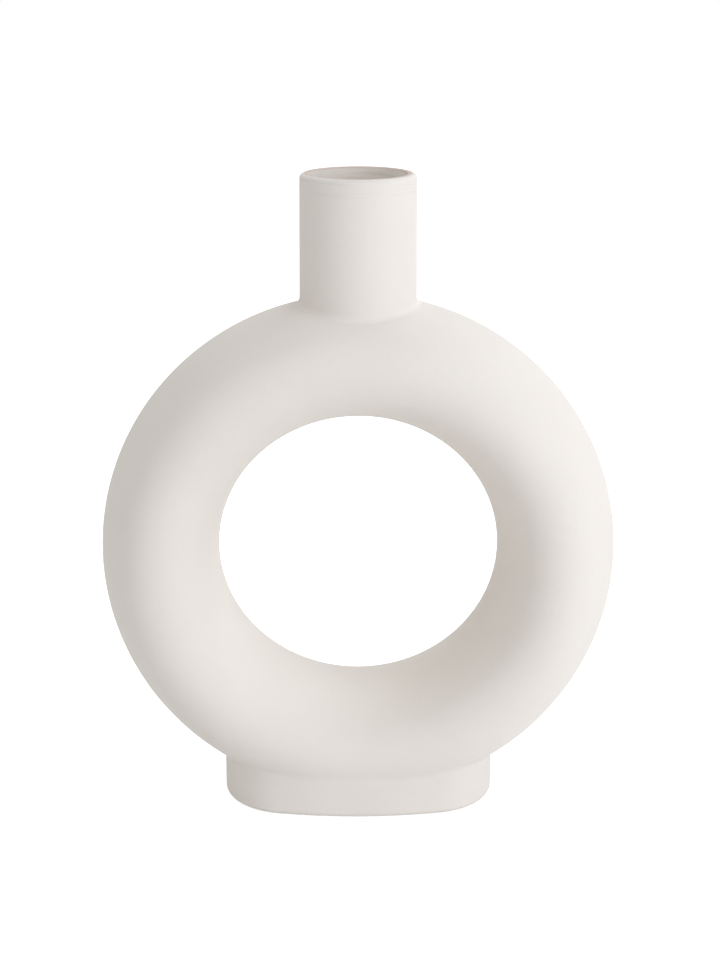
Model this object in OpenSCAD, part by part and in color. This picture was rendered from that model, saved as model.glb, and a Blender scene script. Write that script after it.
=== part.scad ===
// Donut vase: a hollow upright ring of stoneware with a straight neck and an oval foot.
// Front faces -Y, up is +Z, and the origin is at the middle of the foot, on the table.

/* [Ring] */
// Radius of the ring, from its centre to the middle of the tube
ring_r = 91; // [86:0.5:98]
// Thickness of the tube seen from the front
tube_w = 53.4; // [48:0.2:58]
// Thickness of the tube from front to back
tube_d = 84; // [81:0.5:94]
// Radius of the tube's tighter front and back curves
tube_nose = 19; // [17:0.5:21]
// Wall of the ring
ring_wall = 4; // [3:0.25:5]
// Height of the ring's underside above the table
ring_lift = 0.4; // [0.2:0.1:4]

/* [Neck] */
// Height of the lip above the top of the ring
neck_rise = 54.2; // [40:0.2:80]
// Outer diameter of the neck where it meets the ring
neck_base_d = 52.2; // [50:0.2:54]
// Outer diameter of the neck at the lip
neck_top_d = 51.4; // [50:0.2:54]
// Bore of the neck
bore_d = 43; // [38:0.2:44]
// How much wider than the neck's bore the opening in the ring is, all round
mouth_margin = 1; // [0.6:0.1:2]
// Radius of the lip's outer edge
lip_round = 2.2; // [1:0.1:2.6]
// Radius of the lip's inner edge
lip_inner = 0.7; // [0.3:0.1:1.2]
// How far the clay coil reaches up the neck and out over the ring
neck_cove = 2.8; // [1.5:0.1:4]

/* [Foot] */
// Length of the foot, left to right
foot_w = 125.6; // [114:0.2:134]
// How far the foot's front and back stand in from those of the tube
foot_inset = 1.4; // [0.9:0.1:3]
// Radius of the foot's corners in plan
foot_corner = 31; // [27:0.5:33]
// Radius of the slow curve of the foot's front and back in plan
foot_bow = 200; // [160:5:300]
// Wall of the foot
foot_t = 5; // [4:0.25:6]
// Radius of the foot's lower outer edge
foot_edge = 2.6; // [1:0.1:3]
// How far the clay coil reaches down the foot and out under the ring
foot_cove = 1.6; // [0.8:0.1:2]
// Thickness of the base slab
slab_t = 5; // [3:0.5:7]
// How far the base slab sits up inside the foot
slab_recess = 2; // [1:0.25:4]

/* [Glaze] */
// Thickness of the glaze that lines the chamber
glaze_t = 0.5; // [0.3:0.1:1]

/* [Hidden] */
$fn = 96;

// Heights of the ring's centre, of its top and of the lip
ring_z = ring_lift + ring_r + tube_w / 2;
ring_top = ring_z + ring_r + tube_w / 2;
top_z = ring_top + neck_rise;
// The foot's well is cut up to the lowest point of the tube's middle
well_top = ring_z - ring_r;
slab_top = slab_recess + slab_t;
// How far the centre of the foot's front curve lies behind the middle, where a corner that is
// tangent to that curve has its centre, and the angle at which the two meet
bow_y = foot_bow + foot_inset - tube_d / 2;
corner_x = foot_w / 2 - foot_corner;
tangent_y = sqrt(pow(foot_bow - foot_corner, 2) - pow(corner_x, 2)) - bow_y;
corner_turn = atan2(tangent_y + bow_y, corner_x);
// Each corner stands one to two of these steps proud, so that it crosses the front curve cleanly
corner_step = 0.01;
corner_y = corner_step * (ceil(tangent_y / corner_step) + 1);

// Section of the tube: nose arcs at front and back, flatter side arcs tangent to them
nose_y = tube_d / 2 - tube_nose;
side_r = (pow(tube_w / 2, 2) + pow(nose_y, 2) - pow(tube_nose, 2)) / (tube_w - 2 * tube_nose);
side_x = side_r - tube_w / 2;
join_y = nose_y * side_r / (side_r - tube_nose);

// Overshoot of a cut
over = 1;
// Gap between a coil and what it is worked against, and thickness of its feathered edges
coil_gap = 0.03;
feather = 0.08;
// Step outwards over which the slope of the ring is taken
slope_run = 0.1;
// Steps round the neck and across a coil's face
neck_steps = 72;
cove_steps = 5;
// Steps round a corner of the foot, along its front and along its end, and up its rounded edge
corner_steps = 16;
front_steps = 20;
end_steps = 4;
edge_steps = 5;
// Steps in a full circle of the foot's slow curve
bow_steps = 576;
// Points round the section of the tube
section_steps = 96;

// Colours of the bisque, of its unwashed base and of the lining
stoneware = [0.87, 0.85, 0.82];
bare_clay = [0.80, 0.76, 0.71];
glaze_white = [0.92, 0.92, 0.90];

// Point of the tube's section, drawn inwards by skin, where its surface faces the angle t
function section_point(t, skin) =
    abs(sin(t)) * (side_r - tube_nose) > nose_y
        ? [0, sign(sin(t)) * nose_y] + (tube_nose - skin) * [cos(t), sin(t)]
        : [-sign(cos(t)) * side_x, 0] + (side_r - skin) * [cos(t), sin(t)];
// Points round the section from step first to step last. They straddle the tube's middle plane,
// so the ring is a plain cylinder where it crosses that plane.
function section_run(skin, first, last) =
    [for (i = [first:last]) section_point((i + 0.5) * 360 / section_steps, skin)];
// The same points on the back half, closed onto the middle plane
function half_run(skin) =
    let (run = section_run(skin, section_steps / 2, section_steps - 1))
    concat([[run[0][0], 0]], run, [[-run[0][0], 0]]);

// Whole section of the tube
module tube_section(skin) {
    polygon(section_run(skin, 0, section_steps - 1));
}

// Wall of the tube's back half in section
module half_section() {
    inner = half_run(ring_wall);
    polygon(concat(half_run(0), [for (i = [len(inner) - 1:-1:0]) inner[i]]));
}

// Turns a section of the tube about the ring's axis
module turn_ring() {
    translate([0, 0, ring_z])
        rotate([90, 0, 0])
            rotate_extrude()
                translate([ring_r, 0]) children();
}

// The back half of the ring's wall, open to the neck and to the foot
module half_shell() {
    difference() {
        turn_ring() half_section();
        ring_mouth();
        foot_well(0, -over, well_top);
    }
}

// The space inside the foot's wall, drawn inwards by skin
module foot_well(skin, low, high) {
    corner = foot_corner - foot_t - skin;
    bow = foot_bow - foot_t - skin;
    translate([0, 0, low])
        linear_extrude(high - low) {
            square(2 * [corner_x + corner, corner_y], center = true);
            for (sx = [-1, 1])
                for (sy = [-1, 1])
                    translate([sx * corner_x, sy * corner_y]) circle(r = corner);
            intersection() {
                translate([0, -bow_y]) circle(r = bow, $fn = bow_steps);
                translate([0, bow_y]) circle(r = bow, $fn = bow_steps);
                square([2 * bow * cos(corner_turn), tube_d], center = true);
            }
        }
}

// Opening cut in the top of the ring, a little wider than the bore of the neck that stands on it
module ring_mouth() {
    translate([0, 0, ring_z + ring_r])
        cylinder(h = ring_top - ring_z - ring_r + over, d = bore_d + 2 * mouth_margin);
}

// Half thickness of the tube at a depth y from its middle plane
function tube_half(y) =
    abs(y) < join_y
        ? sqrt(pow(side_r, 2) - pow(y, 2)) - side_x
        : sqrt(max(0, pow(tube_nose, 2) - pow(abs(y) - nose_y, 2)));
// Height of the ring's outer surface over or under a point of the plan: side 1 is the top
function skin_z(p, side) = ring_z + side * sqrt(pow(ring_r + tube_half(p[1]), 2) - pow(p[0], 2));

// Section of a coil at one place: an upright wall at p, with n pointing out of it, meets the ring.
// The hollow face runs as a parabola from the wall to the ring, tangent to both.
function coil_section(p, n, reach, side) =
    let (
        joint = skin_z(p, side),
        slope = atan(side * (joint - skin_z(p + slope_run * n, side)) / slope_run),
        out = reach * cos(slope),
        edge = skin_z(p + out * n, side) + side * coil_gap,
        on_wall = [coil_gap + feather, joint + side * reach],
        on_ring = [out, edge + side * feather],
        bend = [coil_gap + feather, joint + side * (coil_gap + feather)],
        face = [for (i = [0:cove_steps])
            let (t = i / cove_steps)
            pow(1 - t, 2) * on_wall + 2 * t * (1 - t) * bend + pow(t, 2) * on_ring],
        back = [[out, edge], [coil_gap, joint + side * coil_gap], [coil_gap, on_wall[1]]]
    )
    [for (q = concat(face, back)) [p[0] + q[0] * n[0], p[1] + q[0] * n[1], q[1]]];

// Closed loop of sections, each joined to the next by triangles; side 1 lies on the ring, -1 under
module coil_loop(sections, side) {
    count = len(sections);
    size = len(sections[0]);
    points = [for (s = sections) for (q = s) q];
    faces = [for (i = [0:count - 1]) for (j = [0:size - 1])
        let (
            a = i * size + j,
            b = i * size + (j + 1) % size,
            c = ((i + 1) % count) * size + (j + 1) % size,
            d = ((i + 1) % count) * size + j
        )
        each side > 0 ? [[a, c, b], [a, d, c]] : [[a, b, c], [a, c, d]]];
    polyhedron(points = points, faces = faces);
}

// Points along an arc as [point, outward direction], without its last
function arc_run(centre, r, from, to, steps) =
    [for (i = [0:steps - 1])
        let (a = from + (to - from) * i / steps, n = [cos(a), sin(a)])
        [centre + r * n, n]];
// Outline of the foot in the same form, against the clock from the front of its right end
function foot_outline() =
    let (half = concat(
        [for (i = [0:end_steps - 1])
            [[foot_w / 2, corner_y * (2 * i / end_steps - 1)], [1, 0]]],
        arc_run([corner_x, corner_y], foot_corner, 0, corner_turn, corner_steps),
        arc_run([0, -bow_y], foot_bow, corner_turn, 180 - corner_turn, front_steps),
        arc_run([-corner_x, corner_y], foot_corner, 180 - corner_turn, 180, corner_steps)))
    concat(half, [for (q = half) -1 * q]);

module front_shell() {
    color(stoneware) mirror([0, 1, 0]) half_shell();
}

module back_shell() {
    color(stoneware) half_shell();
}

// Profile of the neck's wall: straight inside, slightly tapered outside, with a rounded lip
module neck_profile() {
    low = ring_z + ring_r;
    bore_r = bore_d / 2;
    base_r = neck_base_d / 2;
    inner = [bore_r + lip_inner, top_z - lip_inner];
    outer = [neck_top_d / 2 - lip_round, top_z - lip_round];
    polygon([[bore_r, low], [base_r, low], [base_r, ring_top], [neck_top_d / 2, outer[1]],
             outer, [outer[0], top_z], [inner[0], top_z], inner, [bore_r, inner[1]]]);
    intersection() {
        translate(inner) circle(r = lip_inner);
        translate([bore_r, inner[1]]) square(lip_inner);
    }
    intersection() {
        translate(outer) circle(r = lip_round);
        translate(outer) square(lip_round);
    }
}

module neck() {
    color(stoneware)
        difference() {
            rotate_extrude() neck_profile();
            turn_ring() tube_section(0);
        }
}

module neck_coil() {
    color(stoneware)
        coil_loop([for (i = [0:neck_steps - 1])
            let (a = i * 360 / neck_steps, n = [cos(a), sin(a)])
            coil_section(n * neck_base_d / 2, n, neck_cove, 1)], 1);
}

// Solid block of the foot's shape, up to the middle of the tube, with its lower edge rounded
module foot_block() {
    outline = foot_outline();
    count = len(outline);
    lower = [for (i = [0:edge_steps])
        let (a = 90 * i / edge_steps)
        [foot_edge * (1 - sin(a)), foot_edge * (1 - cos(a))]];
    levels = concat(lower, [[0, well_top]]);
    points = [for (v = levels) for (q = outline)
        let (p = q[0] - v[0] * q[1])
        [p[0], p[1], v[1]]];
    sides = [for (k = [0:len(levels) - 2]) for (i = [0:count - 1])
        let (
            a = k * count + i,
            b = k * count + (i + 1) % count
        )
        each [[a, b + count, b], [a, a + count, b + count]]];
    // The two caps start on the curved front, away from the points in line along an end
    first = end_steps + corner_steps;
    bottom = [for (i = [0:count - 1]) (first + i) % count];
    top = [for (i = [count - 1:-1:0]) (len(levels) - 1) * count + bottom[i]];
    polyhedron(points = points, faces = concat(sides, [bottom, top]));
}

module foot_wall() {
    color(stoneware)
        difference() {
            foot_block();
            foot_well(0, -over, well_top + over);
            turn_ring() tube_section(0);
        }
}

module foot_coil() {
    color(stoneware)
        coil_loop([for (q = foot_outline()) coil_section(q[0], q[1], foot_cove, -1)], -1);
}

module base_slab() {
    color(bare_clay) foot_well(0, slab_recess, slab_top);
}

// The space that holds the water, drawn inwards by skin: the tube, and the foot's well under it
module chamber(skin) {
    difference() {
        turn_ring() tube_section(ring_wall + skin);
        translate([0, 0, slab_top + skin + over - foot_w / 2]) cube(foot_w, center = true);
    }
    foot_well(skin, slab_top + skin, well_top);
}

module chamber_glaze() {
    color(glaze_white)
        difference() {
            chamber(0);
            chamber(glaze_t);
            ring_mouth();
        }
}

front_shell();
back_shell();
neck();
neck_coil();
foot_wall();
foot_coil();
base_slab();
chamber_glaze();
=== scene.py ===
# A hollow stoneware ring vase with a straight neck and an oval foot, modelled round its frame.
import math

import bmesh
import bpy
from bpy.props import FloatProperty, FloatVectorProperty, IntProperty, PointerProperty
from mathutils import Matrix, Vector


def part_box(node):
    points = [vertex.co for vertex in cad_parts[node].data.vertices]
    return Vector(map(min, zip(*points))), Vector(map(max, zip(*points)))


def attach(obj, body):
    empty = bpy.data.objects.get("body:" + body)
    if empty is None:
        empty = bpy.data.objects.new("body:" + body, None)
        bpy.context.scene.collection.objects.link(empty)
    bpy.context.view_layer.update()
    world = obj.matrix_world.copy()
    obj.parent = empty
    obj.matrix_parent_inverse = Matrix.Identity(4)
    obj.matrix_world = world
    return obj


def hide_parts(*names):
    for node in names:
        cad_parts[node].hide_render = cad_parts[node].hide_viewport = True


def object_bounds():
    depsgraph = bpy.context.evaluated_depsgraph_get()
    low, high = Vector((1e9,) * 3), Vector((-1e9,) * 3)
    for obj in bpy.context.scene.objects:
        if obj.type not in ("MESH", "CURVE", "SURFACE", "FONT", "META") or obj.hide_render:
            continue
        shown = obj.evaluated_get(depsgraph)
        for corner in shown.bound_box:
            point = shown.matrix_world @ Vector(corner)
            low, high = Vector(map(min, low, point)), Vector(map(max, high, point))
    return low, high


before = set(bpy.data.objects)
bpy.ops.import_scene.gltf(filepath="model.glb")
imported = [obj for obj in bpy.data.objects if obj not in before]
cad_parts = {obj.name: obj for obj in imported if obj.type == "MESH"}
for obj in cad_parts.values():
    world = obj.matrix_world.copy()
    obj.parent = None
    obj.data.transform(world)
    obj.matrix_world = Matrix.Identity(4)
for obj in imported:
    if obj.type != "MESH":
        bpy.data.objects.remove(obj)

bl_info = {
    "name": "Donut Vase",
    "version": (1, 0, 0),
    "blender": (4, 5, 0),
    "location": "View3D > Sidebar > Vase",
    "description": "Models a hollow stoneware ring vase with its neck, foot, clay coils and lining",
    "category": "Object",
}

UP = Vector((0, 0, 1))
BACK = Vector((0, 1, 0))
MM = 0.001
# The box of the CAD model, before anything is added
CAD_LOW, CAD_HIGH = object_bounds()
# A piece may depart this far from the box of the node that it stands for
NODE_FIT = 0.6 * MM
# Points that are closer than this become one
WELD = 0.001 * MM
# How far a cutter runs past what it cuts
OVER = 1 * MM
# A face is shaded as its true surface where the cosine between their directions is over this
SAME_WAY = 0.8
# A face is upright where the height of its direction, of length 1, is under this
UPRIGHT = 0.5
GLAZE_THICKNESS = 0.5 * MM
# Steps across a coil's hollow face, and how deep the coil is sunk into the clay
COVE_STEPS = 10
COIL_SUNK = 0.3 * MM
# Steps round each edge of the lip, and round the foot's lower edge
LIP_STEPS = 8
FOOT_EDGE_STEPS = 6
# The slab's lower edge is rubbed round by this much, in so many steps
SLAB_EDGE = 0.8 * MM
SLAB_EDGE_STEPS = 3

# Patterns of noise: bumps to the metre, detail, roughness, the two levels of the noise between
# which the pattern rises, and what it rises from and to
CLOUDS = (22, 3, 0.5, 0.35, 0.65, 0, 0.16)
FINE_GRAINS = (1500, 2, 0.6, 0.56, 0.70, 0, 0.22)
OPEN_GRAINS = (700, 4, 0.7, 0.42, 0.66, 0, 0.6)
GLAZE_POOLS = (60, 3, 0.5, 0.35, 0.65, 0, 0.3)
TURNING_LINES = (900, 1, 0.5, 0.5, 0.65, 0, 0.35)
DRY = (400, 2, 0.5, 0.3, 0.7, 0.78, 0.92)
VERY_DRY = (250, 2, 0.5, 0.3, 0.7, 0.84, 0.97)
SATIN = (120, 2, 0.5, 0.3, 0.7, 0.28, 0.4)
# Reliefs: bumps to the metre, detail, roughness and depth
HAND_RELIEF = (45, 2, 0.5, 0.12 * MM)
FINE_TOOTH = (1100, 3, 0.6, 0.05 * MM)
TRIMMED_RELIEF = (90, 3, 0.5, 0.3 * MM)
OPEN_TOOTH = (800, 4, 0.7, 0.12 * MM)
GLAZE_RIPPLE = (150, 2, 0.5, 0.1 * MM)
# The turning lines' coordinates are flattened to this, which draws their noise out round the neck
LINE_DRAW = 0.05
# The turning lines are full down to the first of these depths below the lip, and end at the second
LINE_DEPTHS = (3 * MM, 10 * MM)
# The lip is rubbed bare up to the first of these distances from its inner edge and below its top,
# and not at all beyond the second; RUBBED is the share of the bare clay's colour there
RUBBED_REACH = (1 * MM, 2 * MM)
RUBBED_DEPTHS = (0.3 * MM, 0.8 * MM)
RUBBED = 0.85

WHITE = (1, 1, 1, 1)
# The floor's colour, and how much it glows where it is looked at
PAPER = (0.92, 0.92, 0.92, 1)
PAPER_GLOW = 0.6
# Half the side of the floor, in metres
FLOOR_REACH = 3
# Side of each square lamp, and how far it stands from the middle of the vase, in metres
LAMP_SIZE = 0.8
LAMP_REACH = 1.5


class RingSizes(bpy.types.PropertyGroup):
    """Sizes of the hollow ring"""
    radius: FloatProperty(
        name="Ring Radius", description="From the ring's centre to the middle of its tube",
        default=91 * MM, min=0.06, max=0.2, unit="LENGTH")
    tube_width: FloatProperty(
        name="Tube Width", description="Thickness of the tube seen from the front",
        default=53.4 * MM, min=0.03, max=0.1, unit="LENGTH")
    tube_depth: FloatProperty(
        name="Tube Depth", description="Thickness of the tube from front to back",
        default=CAD_HIGH.y - CAD_LOW.y, min=0.04, max=0.15, unit="LENGTH")
    nose_radius: FloatProperty(
        name="Nose Radius", description="Radius of the tube's tight front and back curves",
        default=19 * MM, min=0.01, max=0.04, unit="LENGTH")
    wall: FloatProperty(
        name="Wall", description="Thickness of the ring's clay wall",
        default=4 * MM, min=0.002, max=0.01, unit="LENGTH")
    lift: FloatProperty(
        name="Lift", description="Height of the ring's underside above the table",
        default=0.4 * MM, min=0, max=0.02, unit="LENGTH")
    turn_steps: IntProperty(
        name="Steps Round", description="Steps round the ring", default=192, min=32, max=512)
    arc_steps: IntProperty(
        name="Steps in an Arc", description="Steps along each arc of the tube's section",
        default=12, min=4, max=64)


class NeckSizes(bpy.types.PropertyGroup):
    """Sizes of the neck"""
    lip_height: FloatProperty(
        name="Lip Height", description="Height of the lip above the table",
        default=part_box("neck")[1].z, min=0.1, max=0.6, unit="LENGTH")
    base_radius: FloatProperty(
        name="Base Radius", description="Outer radius of the neck where it meets the ring",
        default=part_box("neck")[1].x, min=0.01, max=0.06, unit="LENGTH")
    lip_radius: FloatProperty(
        name="Lip Radius", description="Outer radius of the neck at the lip",
        default=25.7 * MM, min=0.01, max=0.06, unit="LENGTH")
    bore_radius: FloatProperty(
        name="Bore Radius", description="Inner radius of the neck",
        default=21.5 * MM, min=0.005, max=0.05, unit="LENGTH")
    mouth_margin: FloatProperty(
        name="Mouth Margin",
        description="How much wider than the bore the ring's opening is, all round",
        default=1 * MM, min=0, max=0.003, unit="LENGTH")
    lip_round: FloatProperty(
        name="Outer Lip Rounding", description="Radius of the lip's outer edge",
        default=2.2 * MM, min=0.0002, max=0.003, unit="LENGTH")
    lip_inner: FloatProperty(
        name="Inner Lip Rounding", description="Radius of the lip's inner edge",
        default=0.7 * MM, min=0.0002, max=0.002, unit="LENGTH")
    cove: FloatProperty(
        name="Cove",
        description="How far the clay coil reaches up the neck and out over the ring",
        default=2.8 * MM, min=0.0005, max=0.01, unit="LENGTH")
    turn_steps: IntProperty(
        name="Steps Round", description="Steps round the neck", default=144, min=24, max=512)


class FootSizes(bpy.types.PropertyGroup):
    """Sizes of the foot and of the slab inside it"""
    width: FloatProperty(
        name="Width", description="Length of the foot, left to right",
        default=2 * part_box("foot_wall")[1].x, min=0.05, max=0.3, unit="LENGTH")
    depth: FloatProperty(
        name="Depth", description="Depth of the foot, front to back",
        default=2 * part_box("foot_wall")[1].y, min=0.03, max=0.2, unit="LENGTH")
    corner: FloatProperty(
        name="Corner Radius", description="Radius of the foot's corners in plan",
        default=31 * MM, min=0.005, max=0.06, unit="LENGTH")
    bow: FloatProperty(
        name="Bow Radius",
        description="Radius of the slow curve of the foot's front and back in plan",
        default=200 * MM, min=0.1, max=1, unit="LENGTH")
    wall: FloatProperty(
        name="Wall", description="Thickness of the foot's wall",
        default=5 * MM, min=0.002, max=0.01, unit="LENGTH")
    edge: FloatProperty(
        name="Lower Edge", description="Radius of the foot's lower outer edge",
        default=2.6 * MM, min=0.0002, max=0.004, unit="LENGTH")
    cove: FloatProperty(
        name="Cove",
        description="How far the clay coil reaches down the foot and out under the ring",
        default=1.6 * MM, min=0.0005, max=0.01, unit="LENGTH")
    slab_low: FloatProperty(
        name="Slab Underside", description="Height of the base slab's underside",
        default=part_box("base_slab")[0].z, min=0, max=0.02, unit="LENGTH")
    slab_high: FloatProperty(
        name="Slab Top", description="Height of the base slab's top",
        default=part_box("base_slab")[1].z, min=0.001, max=0.03, unit="LENGTH")
    corner_steps: IntProperty(
        name="Corner Steps", description="Steps round each corner", default=24, min=4, max=96)
    front_steps: IntProperty(
        name="Front Steps", description="Steps along the front and along the back",
        default=30, min=4, max=96)
    end_steps: IntProperty(
        name="End Steps", description="Steps along each end", default=6, min=1, max=96)


class ClayColours(bpy.types.PropertyGroup):
    """Colours of the clay and of the lining"""
    stoneware: FloatVectorProperty(
        name="Stoneware", description="Fired clay seen from outside",
        default=(0.76, 0.716, 0.662), min=0, max=1, size=3, subtype="COLOR")
    grain: FloatVectorProperty(
        name="Grain", description="Darker grains in the clay",
        default=(0.65, 0.605, 0.55), min=0, max=1, size=3, subtype="COLOR")
    # Painted light: the inside of the neck is paled to lighten the shade on its inner wall
    inside: FloatVectorProperty(
        name="Inside the Neck", description="Paler clay inside the neck",
        default=(0.84, 0.795, 0.735), min=0, max=1, size=3, subtype="COLOR")
    lip: FloatVectorProperty(
        name="Lip Line", description="Warm clay where the lip's inner edge is rubbed bare",
        default=(0.56, 0.46, 0.40), min=0, max=1, size=3, subtype="COLOR")
    bare: FloatVectorProperty(
        name="Bare Clay", description="Unwashed clay of the base",
        default=(0.68, 0.60, 0.52), min=0, max=1, size=3, subtype="COLOR")
    glaze: FloatVectorProperty(
        name="Liner Glaze", description="Glaze inside the chamber",
        default=(0.74, 0.74, 0.70), min=0, max=1, size=3, subtype="COLOR")


class StageSettings(bpy.types.PropertyGroup):
    """Camera, lamps and floor"""
    eye: FloatVectorProperty(
        name="Eye", description="Place of the camera",
        default=(-5.6 * MM, -801.3 * MM, 390.6 * MM), size=3, subtype="TRANSLATION")
    pitch: FloatProperty(
        name="Pitch", description="How far the camera looks down",
        default=0.2914, min=-1.5, max=1.5, subtype="ANGLE")
    pan: FloatProperty(
        name="Pan", description="How far the camera looks to the right",
        default=0.008, min=-1.5, max=1.5, subtype="ANGLE")
    focal_length: FloatProperty(
        name="Focal Length", description="Of a sensor 36 mm on its long side, in millimetres",
        default=68.55, min=10, max=300)
    sky: FloatProperty(
        name="Sky", description="Strength of the even white light from all round",
        default=0.68, min=0, max=2)
    lamp_colour: FloatVectorProperty(
        name="Lamp Colour", description="Colour of the three lamps",
        default=(0.88, 0.915, 1), min=0, max=1, size=3, subtype="COLOR")
    key: FloatProperty(
        name="Key Lamp", description="Power of the low lamp at the front right, in watts",
        default=9.4, min=0, max=500)
    high: FloatProperty(
        name="High Lamp", description="Power of the lamp above the front right, in watts",
        default=3.9, min=0, max=500)
    rear: FloatProperty(
        name="Rear Lamp", description="Power of the lamp at the back right, in watts",
        default=6.1, min=0, max=500)


class VaseSettings(bpy.types.PropertyGroup):
    """Everything that a user may change"""
    ring: PointerProperty(type=RingSizes)
    neck: PointerProperty(type=NeckSizes)
    foot: PointerProperty(type=FootSizes)
    clay: PointerProperty(type=ClayColours)
    stage: PointerProperty(type=StageSettings)


class Tube:
    """The ring's tube: flatter side arcs and tight nose arcs, tangent where they meet"""

    def __init__(self, ring):
        half = ring.tube_width / 2
        self.radius = ring.radius
        self.half = half
        self.nose_r = ring.nose_radius
        self.nose_y = ring.tube_depth / 2 - self.nose_r
        self.side_r = ((half ** 2 + self.nose_y ** 2 - self.nose_r ** 2)
                       / (2 * (half - self.nose_r)))
        self.side_x = self.side_r - half
        self.side_turn = math.atan2(self.nose_y, self.side_x)
        self.join_y = self.side_r * math.sin(self.side_turn)
        self.centre = Vector((0, 0, ring.lift + ring.radius + half))
        self.middle_low = self.centre.z - ring.radius
        self.arc_steps = ring.arc_steps
        self.turn_steps = ring.turn_steps

    def half_at(self, y):
        """Half thickness of the tube at a depth y"""
        if abs(y) < self.join_y:
            return math.sqrt(self.side_r ** 2 - y ** 2) - self.side_x
        return math.sqrt(max(0, self.nose_r ** 2 - (abs(y) - self.nose_y) ** 2))

    def height(self, x, y, side):
        """Height of the outer surface over (side 1) or under (side -1) a point of the plan"""
        reach = self.radius + self.half_at(y)
        return self.centre.z + side * math.sqrt(reach ** 2 - x ** 2)

    def slope(self, p, way, side):
        """Rise of the outer surface for each metre from p along way"""
        step = 0.01 * MM
        ahead = self.height(p.x + step * way.x, p.y + step * way.y, side)
        behind = self.height(p.x - step * way.x, p.y - step * way.y, side)
        return (ahead - behind) / (2 * step)

    def normal(self, p):
        """Outward direction of the tube's surface, or of any skin inside it, at p"""
        arm = Vector((p.x, 0, p.z - self.centre.z))
        u = arm.length - self.radius
        away = Vector((u, abs(p.y) - self.nose_y))
        if math.atan2(away.y, abs(u)) < self.side_turn:
            away = Vector((u + math.copysign(self.side_x, u), abs(p.y)))
        away.normalize()
        return away.x * arm.normalized() + Vector((0, math.copysign(away.y, p.y), 0))

    def arcs(self, bm, skin, side):
        """Draws half of the section, drawn inwards by skin, and gives its first and last points"""
        z = self.centre.z
        side_turn, nose_turn = side * self.side_turn, side * (math.pi - 2 * self.side_turn)
        first = last = bm.verts.new((self.radius + self.half - skin, 0, z))
        for centre, turn, steps in (
                ((self.radius - self.side_x, 0, z), side_turn, self.arc_steps),
                ((self.radius, side * self.nose_y, z), nose_turn, 2 * self.arc_steps),
                ((self.radius + self.side_x, 0, z), side_turn, self.arc_steps)):
            last = arc(bm, last, centre, UP, turn, steps)
        return first, last

    def turn(self, bm):
        """Turns what is drawn about the ring's axis"""
        turn_round(bm, self.centre, BACK, self.turn_steps)


def arc(bm, start, centre, axis, angle, steps):
    """Runs an arc on from a point, about an axis through centre, and gives its last point"""
    run = bmesh.ops.spin(bm, geom=[start], cent=centre, axis=axis, angle=angle, steps=steps)
    return next(v for v in run["geom_last"] if isinstance(v, bmesh.types.BMVert))


def turn_round(bm, centre, axis, steps):
    """Turns what is drawn a full turn about an axis through centre"""
    bmesh.ops.spin(bm, geom=bm.verts[:] + bm.edges[:], cent=centre, axis=axis,
                   angle=2 * math.pi, steps=steps, use_merge=True)


def mesh_of(bm, name):
    """Closes off a bmesh as a mesh whose faces point outwards"""
    bmesh.ops.remove_doubles(bm, verts=bm.verts, dist=WELD)
    bmesh.ops.recalc_face_normals(bm, faces=bm.faces)
    mesh = bpy.data.meshes.new(name)
    bm.to_mesh(mesh)
    bm.free()
    return mesh


def object_of(mesh, name):
    """Puts a mesh in the scene, at the origin"""
    piece = bpy.data.objects.new(name, mesh)
    bpy.context.scene.collection.objects.link(piece)
    return piece


def combine(piece, other, operation="DIFFERENCE"):
    """Cuts one closed shape out of another, or joins the two, and deletes the second"""
    modifier = piece.modifiers.new("Combine", "BOOLEAN")
    modifier.operation = operation
    modifier.solver = "MANIFOLD"
    modifier.object = other
    graph = bpy.context.evaluated_depsgraph_get()
    mesh = bpy.data.meshes.new_from_object(piece.evaluated_get(graph))
    piece.modifiers.clear()
    old = piece.data
    piece.data = mesh
    mesh.name = piece.name
    bpy.data.meshes.remove(old)
    bpy.data.objects.remove(other)


def round_off(mesh, way_at):
    """Shades each face by the true surface's direction at its points, and leaves cut faces flat"""
    mesh.shade_smooth()
    ways = [None] * len(mesh.loops)
    for face in mesh.polygons:
        for i in face.loop_indices:
            true = way_at(mesh.vertices[mesh.loops[i].vertex_index])
            along = true.dot(face.normal)
            if abs(along) > SAME_WAY:
                ways[i] = true * math.copysign(1, along)
            else:
                ways[i] = face.normal.copy()
    mesh.normals_split_custom_set(ways)


def dress(piece, node, material):
    """Lets a piece stand for its node, with its material"""
    low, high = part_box(node)
    places = [v.co for v in piece.data.vertices]
    for axis in range(3):
        off = max(abs(min(p[axis] for p in places) - low[axis]),
                  abs(max(p[axis] for p in places) - high[axis]))
        if off > NODE_FIT:
            raise RuntimeError(f"{piece.name} is {off / MM:.2f} mm off the box of {node}")
    piece.data.materials.clear()
    piece.data.materials.append(material)
    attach(piece, "root")
    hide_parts(node)


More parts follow.
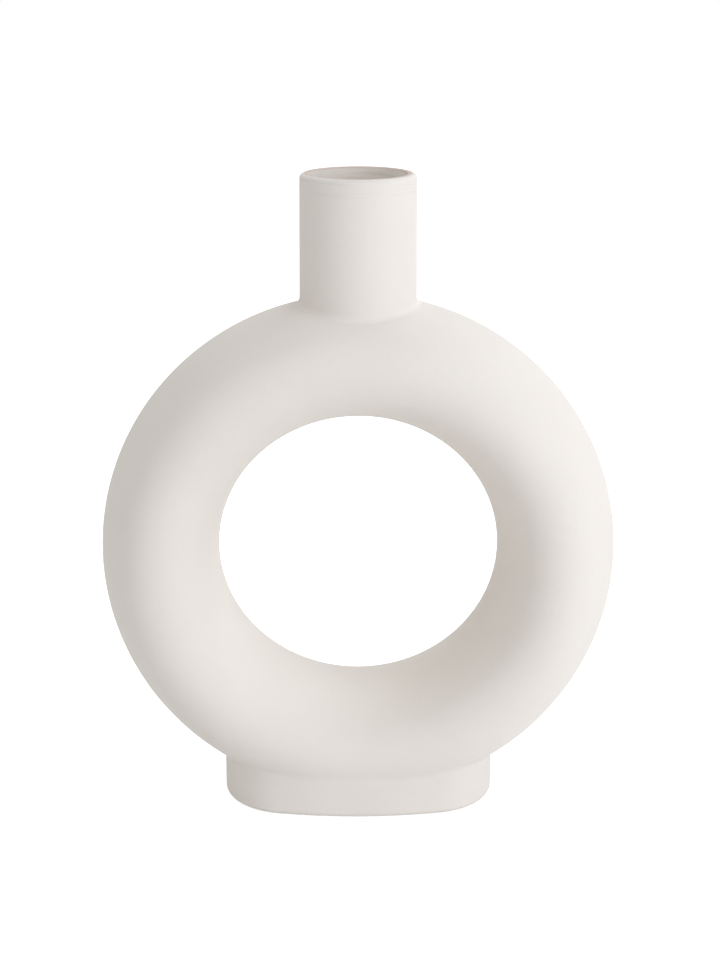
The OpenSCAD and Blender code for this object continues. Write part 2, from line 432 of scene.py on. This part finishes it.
class Oval:
    """The foot's outline: short flat ends, round corners, and a slow curve at front and back"""

    def __init__(self, foot):
        self.foot = foot
        self.centre_x = foot.width / 2 - foot.corner
        self.bow_y = foot.bow - foot.depth / 2
        self.centre_y = math.sqrt((foot.bow - foot.corner) ** 2 - self.centre_x ** 2) - self.bow_y
        self.corner_turn = math.atan2(self.centre_y + self.bow_y, self.centre_x)

    def plate(self, skin):
        """A flat face of the outline's shape on the table, drawn inwards by skin"""
        foot = self.foot
        bow_turn = math.pi - 2 * self.corner_turn
        ends = []
        bm = bmesh.new()
        for side in (1, -1):
            x, y = side * self.centre_x, side * self.centre_y
            first = last = bm.verts.new((side * (foot.width / 2 - skin), y, 0))
            for centre, turn, steps in (
                    ((x, y, 0), self.corner_turn, foot.corner_steps),
                    ((0, -side * self.bow_y, 0), bow_turn, foot.front_steps),
                    ((-x, y, 0), self.corner_turn, foot.corner_steps)):
                last = arc(bm, last, centre, UP, turn, steps)
            ends.append((first, last))
        (back_first, back_last), (front_first, front_last) = ends
        flats = [bm.edges.new((back_last, front_first)), bm.edges.new((front_last, back_first))]
        bmesh.ops.subdivide_edges(bm, edges=flats, cuts=foot.end_steps - 1)
        bmesh.ops.contextual_create(bm, geom=bm.edges[:])
        return bm

    def block(self, name, skin, low, high):
        """A closed upright block of the outline's shape, drawn inwards by skin"""
        bm = self.plate(skin)
        raised(bm, low, high)
        return object_of(mesh_of(bm, name), name)

    def run(self):
        """Points anticlockwise round the outline, each with the way out of it there"""
        foot = self.foot
        half = [(Vector((foot.width / 2, self.centre_y * (2 * i / foot.end_steps - 1), 0)),
                 Vector((1, 0, 0))) for i in range(foot.end_steps)]
        turn = self.corner_turn
        for x, y, radius, first, last, steps in (
                (self.centre_x, self.centre_y, foot.corner, 0, turn, foot.corner_steps),
                (0, -self.bow_y, foot.bow, turn, math.pi - turn, foot.front_steps),
                (-self.centre_x, self.centre_y, foot.corner, math.pi - turn, math.pi,
                 foot.corner_steps)):
            for i in range(steps):
                angle = first + (last - first) * i / steps
                way = Vector((math.cos(angle), math.sin(angle), 0))
                half.append((Vector((x, y, 0)) + radius * way, way))
        return half + [(-p, -way) for p, way in half]

    def way(self, p):
        """Way out of the upright walls at p, and how far outside the outline p is"""
        foot = self.foot
        x, y = abs(p.x), abs(p.y)
        if y <= self.centre_y and x >= self.centre_x:
            out = Vector((1, 0, 0))
            beyond = x - foot.width / 2
        else:
            out = Vector((x, y + self.bow_y, 0))
            beyond = out.length - foot.bow
            if math.atan2(out.y, out.x) < self.corner_turn:
                out = Vector((x - self.centre_x, y - self.centre_y, 0))
                beyond = out.length - foot.corner
            out.normalize()
        return Vector((math.copysign(out.x, p.x), math.copysign(out.y, p.y), 0)), beyond


def raised(bm, low, high):
    """Lifts the faces drawn so far to low, extrudes them up to high, and gives the upper points"""
    bmesh.ops.translate(bm, vec=(0, 0, low), verts=bm.verts)
    top = bmesh.ops.extrude_face_region(bm, geom=bm.faces[:])
    verts = [v for v in top["geom"] if isinstance(v, bmesh.types.BMVert)]
    bmesh.ops.translate(bm, vec=(0, 0, high - low), verts=verts)
    return verts


def round_edges(bm, edges, reach, steps):
    """Rounds edges off, by reach and in so many steps"""
    bmesh.ops.bevel(bm, geom=edges, offset=reach, offset_type="OFFSET", segments=steps,
                    profile=0.5, affect="EDGES", material=-1)


def ring_mouth(neck, tube):
    """The opening in the top of the ring, as a closed block"""
    reach = tube.half + OVER
    radius = neck.bore_radius + neck.mouth_margin
    bm = bmesh.new()
    bmesh.ops.create_cone(bm, cap_ends=True, segments=neck.turn_steps, radius1=radius,
                          radius2=radius, depth=reach)
    bmesh.ops.translate(bm, vec=(0, 0, tube.centre.z + tube.radius + reach / 2), verts=bm.verts)
    return object_of(mesh_of(bm, "ring_mouth"), "ring_mouth")


def material_nodes(name):
    """An empty material: gives it, its nodes, its links and its shader"""
    material = bpy.data.materials.new(name)
    material.use_nodes = True
    nodes, links = material.node_tree.nodes, material.node_tree.links
    shader = nodes["Principled BSDF"]
    return material, nodes, links, shader


def noise(nodes, links, place, scale, detail, roughness):
    """Noise on coordinates in metres, with scale bumps to the metre"""
    node = nodes.new("ShaderNodeTexNoise")
    node.inputs["Scale"].default_value = scale
    node.inputs["Detail"].default_value = detail
    node.inputs["Roughness"].default_value = roughness
    links.new(place, node.inputs["Vector"])
    return node.outputs["Fac"]


def spread(nodes, links, value, low, high, to_low, to_high):
    """Maps a range of values onto another"""
    node = nodes.new("ShaderNodeMapRange")
    for key, number in (("From Min", low), ("From Max", high),
                        ("To Min", to_low), ("To Max", to_high)):
        node.inputs[key].default_value = number
    links.new(value, node.inputs["Value"])
    return node.outputs["Result"]


def pattern(nodes, links, place, scale, detail, roughness, low, high, least, most):
    """A pattern that rises from least to most where its noise rises from low to high"""
    return spread(nodes, links, noise(nodes, links, place, scale, detail, roughness),
                  low, high, least, most)


def fade(nodes, links, value, full, gone, share=1):
    """A mask that is share where the value is at full, and nothing where it is at gone"""
    return spread(nodes, links, value, gone, full, 0, share)


def both(nodes, links, first, second):
    """The share that lies in both of two masks"""
    node = nodes.new("ShaderNodeMath")
    node.operation = "MULTIPLY"
    links.new(first, node.inputs[0])
    links.new(second, node.inputs[1])
    return node.outputs[0]


def blend_colours(nodes, links, share, first, second):
    """Mixes two colours, each a fixed colour or another node's output"""
    node = nodes.new("ShaderNodeMix")
    node.data_type = "RGBA"
    links.new(share, node.inputs["Factor"])
    for socket, colour in ((node.inputs[6], first), (node.inputs[7], second)):
        if isinstance(colour, bpy.types.NodeSocket):
            links.new(colour, socket)
        else:
            socket.default_value = (*colour, 1)
    return node.outputs[2]


def relief(nodes, links, place, scale, detail, roughness, depth, below):
    """Raises the surface by noise up to depth, on top of another relief if there is one"""
    node = nodes.new("ShaderNodeBump")
    node.inputs["Strength"].default_value = 1
    node.inputs["Distance"].default_value = depth
    links.new(noise(nodes, links, place, scale, detail, roughness), node.inputs["Height"])
    if below is not None:
        links.new(below, node.inputs["Normal"])
    return node.outputs["Normal"]


def scaled(nodes, links, place, factors):
    """Coordinates that are stretched or flattened along each axis"""
    node = nodes.new("ShaderNodeVectorMath")
    node.operation = "MULTIPLY"
    node.inputs[1].default_value = factors
    links.new(place, node.inputs[0])
    return node.outputs["Vector"]


def lip_colours(nodes, links, place, body, clay, neck):
    """Paints light inside the neck by paling its clay there, draws turning lines below the lip, and
    warms its edge
    """
    length = nodes.new("ShaderNodeVectorMath")
    length.operation = "LENGTH"
    links.new(scaled(nodes, links, place, (1, 1, 0)), length.inputs[0])
    radius = length.outputs["Value"]
    split = nodes.new("ShaderNodeSeparateXYZ")
    links.new(place, split.inputs["Vector"])
    height = split.outputs["Z"]
    edge, lip = neck.bore_radius + neck.lip_inner, neck.lip_height

    # Painted light: the clay inside the bore is paled, which lightens the shaded inner wall of the
    # neck
    inside = fade(nodes, links, radius, neck.bore_radius, edge)
    body = blend_colours(nodes, links, inside, body, tuple(clay.inside))

    round_neck = scaled(nodes, links, place, (LINE_DRAW, LINE_DRAW, 1))
    lines = pattern(nodes, links, round_neck, *TURNING_LINES)
    below = fade(nodes, links, height, *(lip - depth for depth in LINE_DEPTHS))
    body = blend_colours(nodes, links, both(nodes, links, lines, below), body, tuple(clay.grain))

    near = fade(nodes, links, radius, *(edge + reach for reach in RUBBED_REACH), RUBBED)
    top = fade(nodes, links, height, *(lip - depth for depth in RUBBED_DEPTHS))
    return blend_colours(nodes, links, both(nodes, links, near, top), body, tuple(clay.lip))


def finish(name, clay, colour, shades, dryness, gloss, reliefs, neck=None):
    """A fired finish: a colour shaded with the grain's, its roughness, its gloss and its relief"""
    material, nodes, links, shader = material_nodes(name)
    place = nodes.new("ShaderNodeTexCoord").outputs["Object"]
    body = tuple(colour)
    for shade in shades:
        share = pattern(nodes, links, place, *shade)
        body = blend_colours(nodes, links, share, body, tuple(clay.grain))
    if neck is not None:
        body = lip_colours(nodes, links, place, body, clay, neck)
    links.new(body, shader.inputs["Base Color"])
    links.new(pattern(nodes, links, place, *dryness), shader.inputs["Roughness"])
    shader.inputs["Specular IOR Level"].default_value = gloss
    way = None
    for each in reliefs:
        way = relief(nodes, links, place, *each, way)
    links.new(way, shader.inputs["Normal"])
    return material


def stoneware(name, clay, neck=None):
    """Matte fired clay with a fine dry grain and faint clouds, and on a neck the lip's colours"""
    return finish(name, clay, clay.stoneware, shades=(CLOUDS, FINE_GRAINS), dryness=DRY,
                  gloss=0.35, reliefs=(HAND_RELIEF, FINE_TOOTH), neck=neck)


def bare_clay(clay):
    """Unwashed clay of the base: rougher and warmer, with open grain"""
    return finish("base_clay", clay, clay.bare, shades=(OPEN_GRAINS,), dryness=VERY_DRY,
                  gloss=0.3, reliefs=(TRIMMED_RELIEF, OPEN_TOOTH))


def liner_glaze(clay):
    """Thin satin glaze that pools a little"""
    return finish("lining_glaze", clay, clay.glaze, shades=(GLAZE_POOLS,), dryness=SATIN,
                  gloss=0.5, reliefs=(GLAZE_RIPPLE,))


def cove_point(tube, p, n, reach, side, t):
    """Point of a coil's hollow face, from the upright wall at p (t = 0) to the ring (t = 1)"""
    joint = tube.height(p.x, p.y, side)
    out = reach * math.cos(math.atan(tube.slope(p, n, side)))
    far = p + out * n
    ring_z = tube.height(far.x, far.y, side)
    bend_z = ring_z - out * tube.slope(far, n, side)
    wall_z = joint + side * reach
    z = (1 - t) ** 2 * wall_z + 2 * t * (1 - t) * bend_z + t ** 2 * ring_z
    return Vector((p.x, p.y, z)) + t ** 2 * out * n


def coil(name, outline, tube, reach, side):
    """Lays a roll of clay round an upright wall where it meets the ring, its face a hollow curve"""
    # Half the side of the grid that is laid, and a small share of the way across the coil
    half = 0.5
    nudge = 0.001
    count = len(outline)
    bm = bmesh.new()
    true = bm.verts.layers.float_vector.new("true")
    bmesh.ops.create_grid(bm, x_segments=COVE_STEPS + 1, y_segments=count, size=half)
    for v in bm.verts:
        # The point's step across the coil and its number along the outline
        step = round((v.co.x + half) * (COVE_STEPS + 1))
        j = round((v.co.y + half) * count)
        p, n = outline[j % count]
        if step > COVE_STEPS:
            joint = tube.height(p.x, p.y, side)
            v.co = Vector((p.x, p.y, joint - side * COIL_SUNK)) - COIL_SUNK * n
            continue
        t = step / COVE_STEPS
        before, after = (cove_point(tube, *outline[k % count], reach, side, t)
                         for k in (j - 1, j + 1))
        low, high = (cove_point(tube, p, n, reach, side, t + d) for d in (-nudge, nudge))
        way = (high - low).cross(after - before).normalized()
        v[true] = way * math.copysign(1, way.dot(n + side * UP))
        v.co = cove_point(tube, p, n, reach, side, t)
    bmesh.ops.remove_doubles(bm, verts=bm.verts, dist=WELD)
    bmesh.ops.bridge_loops(bm, edges=[e for e in bm.edges if e.is_boundary])
    piece = object_of(mesh_of(bm, name), name)
    ways = [d.vector.copy() for d in piece.data.attributes["true"].data]
    round_off(piece.data, lambda v: ways[v.index])
    return piece


def chamber(name, vase, tube, skin):
    """The space that holds the water, drawn inwards by skin: the tube, and the well in the foot"""
    foot = vase.foot
    floor_z = foot.slab_high + skin
    bm = bmesh.new()
    for side in (-1, 1):
        tube.arcs(bm, vase.ring.wall + skin, side)
    bmesh.ops.remove_doubles(bm, verts=bm.verts, dist=WELD)
    tube.turn(bm)
    block = object_of(mesh_of(bm, name), name)
    bm = bmesh.new()
    bmesh.ops.create_cube(bm, size=foot.width)
    bmesh.ops.translate(bm, vec=(0, 0, floor_z + OVER - foot.width / 2), verts=bm.verts)
    combine(block, object_of(mesh_of(bm, "below"), "below"))
    well = Oval(foot).block("well", foot.wall + skin, floor_z, tube.middle_low)
    combine(block, well, "UNION")
    return block


def white_paper():
    """Matte white floor, which glows a little where it is looked at, so that it shows white"""
    material, nodes, links, shader = material_nodes("white_paper")
    for key, value in (("Base Color", PAPER), ("Roughness", 0.9), ("Specular IOR Level", 0.1)):
        shader.inputs[key].default_value = value
    glow = nodes.new("ShaderNodeEmission")
    glow.inputs["Strength"].default_value = PAPER_GLOW
    added = nodes.new("ShaderNodeAddShader")
    links.new(shader.outputs[0], added.inputs[0])
    links.new(glow.outputs[0], added.inputs[1])
    links.new(seen_directly(nodes, links, shader.outputs[0], added.outputs[0]),
              nodes["Material Output"].inputs["Surface"])
    return material


def seen_directly(nodes, links, otherwise, seen):
    """Chooses a shader for what the camera, a reflection or clear glass looks at"""
    path = nodes.new("ShaderNodeLightPath")
    share = path.outputs["Is Camera Ray"]
    for name in ("Is Glossy Ray", "Is Transmission Ray"):
        add = nodes.new("ShaderNodeMath")
        add.operation = "MAXIMUM"
        links.new(share, add.inputs[0])
        links.new(path.outputs[name], add.inputs[1])
        share = add.outputs[0]
    mix = nodes.new("ShaderNodeMixShader")
    links.new(share, mix.inputs[0])
    links.new(otherwise, mix.inputs[1])
    links.new(seen, mix.inputs[2])
    return mix.outputs[0]


def white_sky(stage):
    """Even light from all round, white where it is seen"""
    world = bpy.data.worlds.new("white_sky")
    world.use_nodes = True
    nodes, links = world.node_tree.nodes, world.node_tree.links
    light = nodes["Background"]
    seen = nodes.new("ShaderNodeBackground")
    for node, strength in ((light, stage.sky), (seen, 1)):
        node.inputs["Color"].default_value = WHITE
        node.inputs["Strength"].default_value = strength
    links.new(seen_directly(nodes, links, light.outputs[0], seen.outputs[0]),
              nodes["World Output"].inputs["Surface"])
    bpy.context.scene.world = world


def lamp(name, turn, rise, power, colour):
    """A square soft lamp that faces the vase, its turn to the right and its rise in degrees"""
    data = bpy.data.lights.new(name, "AREA")
    data.energy = power
    data.color = colour
    data.size = LAMP_SIZE
    lit = bpy.data.objects.new(name, data)
    bpy.context.scene.collection.objects.link(lit)
    turn, rise = math.radians(turn), math.radians(rise)
    level = math.cos(rise)
    away = Vector((math.sin(turn) * level, -math.cos(turn) * level, math.sin(rise)))
    lit.location = (CAD_LOW + CAD_HIGH) / 2 + LAMP_REACH * away
    lit.rotation_euler = (-away).to_track_quat("-Z", "Y").to_euler()


def camera(stage):
    """Looks at the vase from the photograph's place"""
    data = bpy.data.cameras.new("camera")
    data.lens = stage.focal_length
    eye = bpy.data.objects.new("camera", data)
    bpy.context.scene.collection.objects.link(eye)
    eye.location = stage.eye
    pan, pitch = stage.pan, stage.pitch
    level = math.cos(pitch)
    aim = Vector((math.sin(pan) * level, math.cos(pan) * level, -math.sin(pitch)))
    eye.rotation_euler = aim.to_track_quat("-Z", "Y").to_euler()
    bpy.context.scene.camera = eye


def settings():
    """The vase's sizes and colours, and its stage"""
    return bpy.context.scene.vase


def outer_clay():
    """The stoneware that the ring, its foot and the coils share, made once"""
    return bpy.data.materials.get("ring_clay") or stoneware("ring_clay", settings().clay)


class MESH_OT_vase_shells(bpy.types.Operator):
    """Add the front and back halves of the hollow ring"""
    bl_idname = "mesh.vase_shells"
    bl_label = "Add Ring Shells"

    def execute(self, context):
        vase = settings()
        tube = Tube(vase.ring)
        for name, side in (("front_shell", -1), ("back_shell", 1)):
            bm = bmesh.new()
            outer_first, outer_last = tube.arcs(bm, 0, side)
            inner_first, inner_last = tube.arcs(bm, vase.ring.wall, side)
            bm.edges.new((outer_first, inner_first))
            bm.edges.new((outer_last, inner_last))
            tube.turn(bm)
            piece = object_of(mesh_of(bm, "ring_" + name), "ring_" + name)
            combine(piece, ring_mouth(vase.neck, tube))
            combine(piece, Oval(vase.foot).block("well", vase.foot.wall, -OVER, tube.middle_low))
            round_off(piece.data, lambda v: tube.normal(v.co))
            dress(piece, name, outer_clay())
        return {"FINISHED"}


class MESH_OT_vase_neck(bpy.types.Operator):
    """Add the straight neck with its rounded lip"""
    bl_idname = "mesh.vase_neck"
    bl_label = "Add Neck"

    def execute(self, context):
        vase = settings()
        neck, tube = vase.neck, Tube(vase.ring)
        ring_top = tube.centre.z + tube.radius + tube.half
        inner_x, inner_z = neck.bore_radius + neck.lip_inner, neck.lip_height - neck.lip_inner
        outer_x, outer_z = neck.lip_radius - neck.lip_round, neck.lip_height - neck.lip_round
        bm = bmesh.new()
        inner_seat = bm.verts.new((neck.bore_radius, 0, 0))
        inner_top = bm.verts.new((neck.bore_radius, 0, inner_z))
        bm.edges.new((inner_seat, inner_top))
        inner_lip = arc(bm, inner_top, (inner_x, 0, inner_z), BACK, math.pi / 2, LIP_STEPS)
        outer_lip = bm.verts.new((outer_x, 0, neck.lip_height))
        bm.edges.new((inner_lip, outer_lip))
        outer_top = arc(bm, outer_lip, (outer_x, 0, outer_z), BACK, math.pi / 2, LIP_STEPS)
        shoulder = bm.verts.new((neck.base_radius, 0, ring_top))
        bm.edges.new((outer_top, shoulder))
        outer_seat = bm.verts.new((neck.base_radius, 0, 0))
        bm.edges.new((shoulder, outer_seat))
        bm.edges.new((outer_seat, inner_seat))
        turn_round(bm, (0, 0, 0), UP, neck.turn_steps)
        for v in bm.verts:
            if v.co.z < WELD:
                v.co.z = tube.height(v.co.x, v.co.y, 1)
        taper = (neck.base_radius - neck.lip_radius) / (outer_z - ring_top)

        def way_at(v):
            p = v.co
            across = Vector((p.x, p.y, 0))
            r = across.length
            across /= r
            if r < inner_x + WELD:
                return (min(r - inner_x, 0) * across + max(p.z - inner_z, 0) * UP).normalized()
            if p.z > outer_z:
                return (max(r - outer_x, 0) * across + (p.z - outer_z) * UP).normalized()
            if p.z > ring_top:
                return (across + taper * UP).normalized()
            return across

        piece = object_of(mesh_of(bm, "neck_tube"), "neck_tube")
        round_off(piece.data, way_at)
        dress(piece, "neck", stoneware("neck_clay", vase.clay, neck))
        return {"FINISHED"}


class MESH_OT_vase_coils(bpy.types.Operator):
    """Add the clay coils that round the joints of the ring with its neck and its foot"""
    bl_idname = "mesh.vase_coils"
    bl_label = "Add Clay Coils"

    def execute(self, context):
        vase = settings()
        neck, foot, tube = vase.neck, vase.foot, Tube(vase.ring)
        ways = [Vector((math.cos(a), math.sin(a), 0))
                for a in (2 * math.pi * i / neck.turn_steps for i in range(neck.turn_steps))]
        round_neck = [(neck.base_radius * way, way) for way in ways]
        for name, node, outline, cove, side in (
                ("neck_joint_coil", "neck_coil", round_neck, neck.cove, 1),
                ("foot_joint_coil", "foot_coil", Oval(foot).run(), foot.cove, -1)):
            dress(coil(name, outline, tube, cove, side), node, outer_clay())
        return {"FINISHED"}


class MESH_OT_vase_foot(bpy.types.Operator):
    """Add the oval foot, its top cut to the ring that stands in it"""
    bl_idname = "mesh.vase_foot"
    bl_label = "Add Foot"

    def execute(self, context):
        vase = settings()
        foot, tube, oval = vase.foot, Tube(vase.ring), Oval(vase.foot)
        bm = oval.plate(0)
        plate = bm.faces[:]
        bmesh.ops.inset_region(bm, faces=plate, thickness=foot.wall, use_even_offset=True,
                               use_boundary=True)
        bmesh.ops.delete(bm, geom=plate, context="FACES_ONLY")
        for v in raised(bm, 0, tube.centre.z):
            v.co.z = tube.height(v.co.x, v.co.y, -1)
        bmesh.ops.recalc_face_normals(bm, faces=bm.faces)
        lower = [e for e in bm.edges if max(v.co.z for v in e.verts) < WELD
                 and all(oval.way(v.co)[1] > -foot.wall / 2 for v in e.verts)
                 and len([f for f in e.link_faces if abs(f.normal.z) < UPRIGHT]) == 1]
        round_edges(bm, lower, foot.edge, FOOT_EDGE_STEPS)

        def way_at(v):
            z = v.co.z
            way, out = oval.way(v.co)
            if z < foot.edge and out > -foot.edge:
                return ((out + foot.edge) * way + (z - foot.edge) * UP).normalized()
            return way

        piece = object_of(mesh_of(bm, "foot_ring_wall"), "foot_ring_wall")
        round_off(piece.data, way_at)
        dress(piece, "foot_wall", outer_clay())
        return {"FINISHED"}


class MESH_OT_vase_base(bpy.types.Operator):
    """Add the slab that closes the foot, recessed a little"""
    bl_idname = "mesh.vase_base"
    bl_label = "Add Base Slab"

    def execute(self, context):
        vase = settings()
        foot, oval = vase.foot, Oval(vase.foot)
        bm = oval.plate(foot.wall)
        raised(bm, foot.slab_low, foot.slab_high)
        lower = [e for e in bm.edges if max(v.co.z for v in e.verts) < foot.slab_low + WELD]
        round_edges(bm, lower, SLAB_EDGE, SLAB_EDGE_STEPS)
        piece = object_of(mesh_of(bm, "foot_slab"), "foot_slab")
        round_off(piece.data, lambda v: oval.way(v.co)[0])
        dress(piece, "base_slab", bare_clay(vase.clay))
        return {"FINISHED"}


class MESH_OT_vase_lining(bpy.types.Operator):
    """Add the glaze that lines the chamber below the neck"""
    bl_idname = "mesh.vase_lining"
    bl_label = "Add Chamber Lining"

    def execute(self, context):
        vase = settings()
        tube = Tube(vase.ring)
        piece = chamber("chamber_lining", vase, tube, 0)
        combine(piece, chamber("inner", vase, tube, GLAZE_THICKNESS))
        combine(piece, ring_mouth(vase.neck, tube))
        round_off(piece.data, lambda v: tube.normal(v.co))
        dress(piece, "chamber_glaze", liner_glaze(vase.clay))
        return {"FINISHED"}


class SCENE_OT_vase_stage(bpy.types.Operator):
    """Add the white floor, the light and the camera"""
    bl_idname = "scene.vase_stage"
    bl_label = "Add Stage"

    def execute(self, context):
        stage = settings().stage
        bm = bmesh.new()
        bmesh.ops.create_grid(bm, x_segments=2, y_segments=2, size=FLOOR_REACH)
        floor = object_of(mesh_of(bm, "floor"), "floor")
        floor.data.materials.append(white_paper())
        context.scene.view_settings.view_transform = "Standard"
        white_sky(stage)
        colour = stage.lamp_colour
        lamp("key_lamp", turn=50, rise=5, power=stage.key, colour=colour)
        lamp("high_lamp", turn=40, rise=65, power=stage.high, colour=colour)
        lamp("rear_lamp", turn=150, rise=35, power=stage.rear, colour=colour)
        camera(stage)
        return {"FINISHED"}


class VIEW3D_PT_vase(bpy.types.Panel):
    """Lists the vase's pieces and sizes"""
    bl_idname = "VIEW3D_PT_vase"
    bl_label = "Donut Vase"
    bl_space_type = "VIEW_3D"
    bl_region_type = "UI"
    bl_category = "Vase"

    def draw(self, context):
        vase = settings()
        for group, operators in (
                (vase.ring, (MESH_OT_vase_shells, MESH_OT_vase_lining)),
                (vase.neck, (MESH_OT_vase_neck, MESH_OT_vase_coils)),
                (vase.foot, (MESH_OT_vase_foot, MESH_OT_vase_base)),
                (vase.clay, ()),
                (vase.stage, (SCENE_OT_vase_stage,))):
            box = self.layout.box()
            for operator in operators:
                box.operator(operator.bl_idname)
            for name in group.__annotations__:
                box.prop(group, name)


CLASSES = (
    RingSizes, NeckSizes, FootSizes, ClayColours, StageSettings, VaseSettings,
    MESH_OT_vase_shells, MESH_OT_vase_neck, MESH_OT_vase_coils, MESH_OT_vase_foot,
    MESH_OT_vase_base, MESH_OT_vase_lining, SCENE_OT_vase_stage, VIEW3D_PT_vase,
)


def register():
    for each in CLASSES:
        bpy.utils.register_class(each)
    bpy.types.Scene.vase = PointerProperty(type=VaseSettings)


def unregister():
    del bpy.types.Scene.vase
    for each in reversed(CLASSES):
        bpy.utils.unregister_class(each)


def main():
    register()
    bpy.ops.scene.vase_stage()
    bpy.ops.mesh.vase_shells()
    bpy.ops.mesh.vase_neck()
    bpy.ops.mesh.vase_coils()
    bpy.ops.mesh.vase_foot()
    bpy.ops.mesh.vase_base()
    bpy.ops.mesh.vase_lining()


if __name__ == "__main__":
    main()
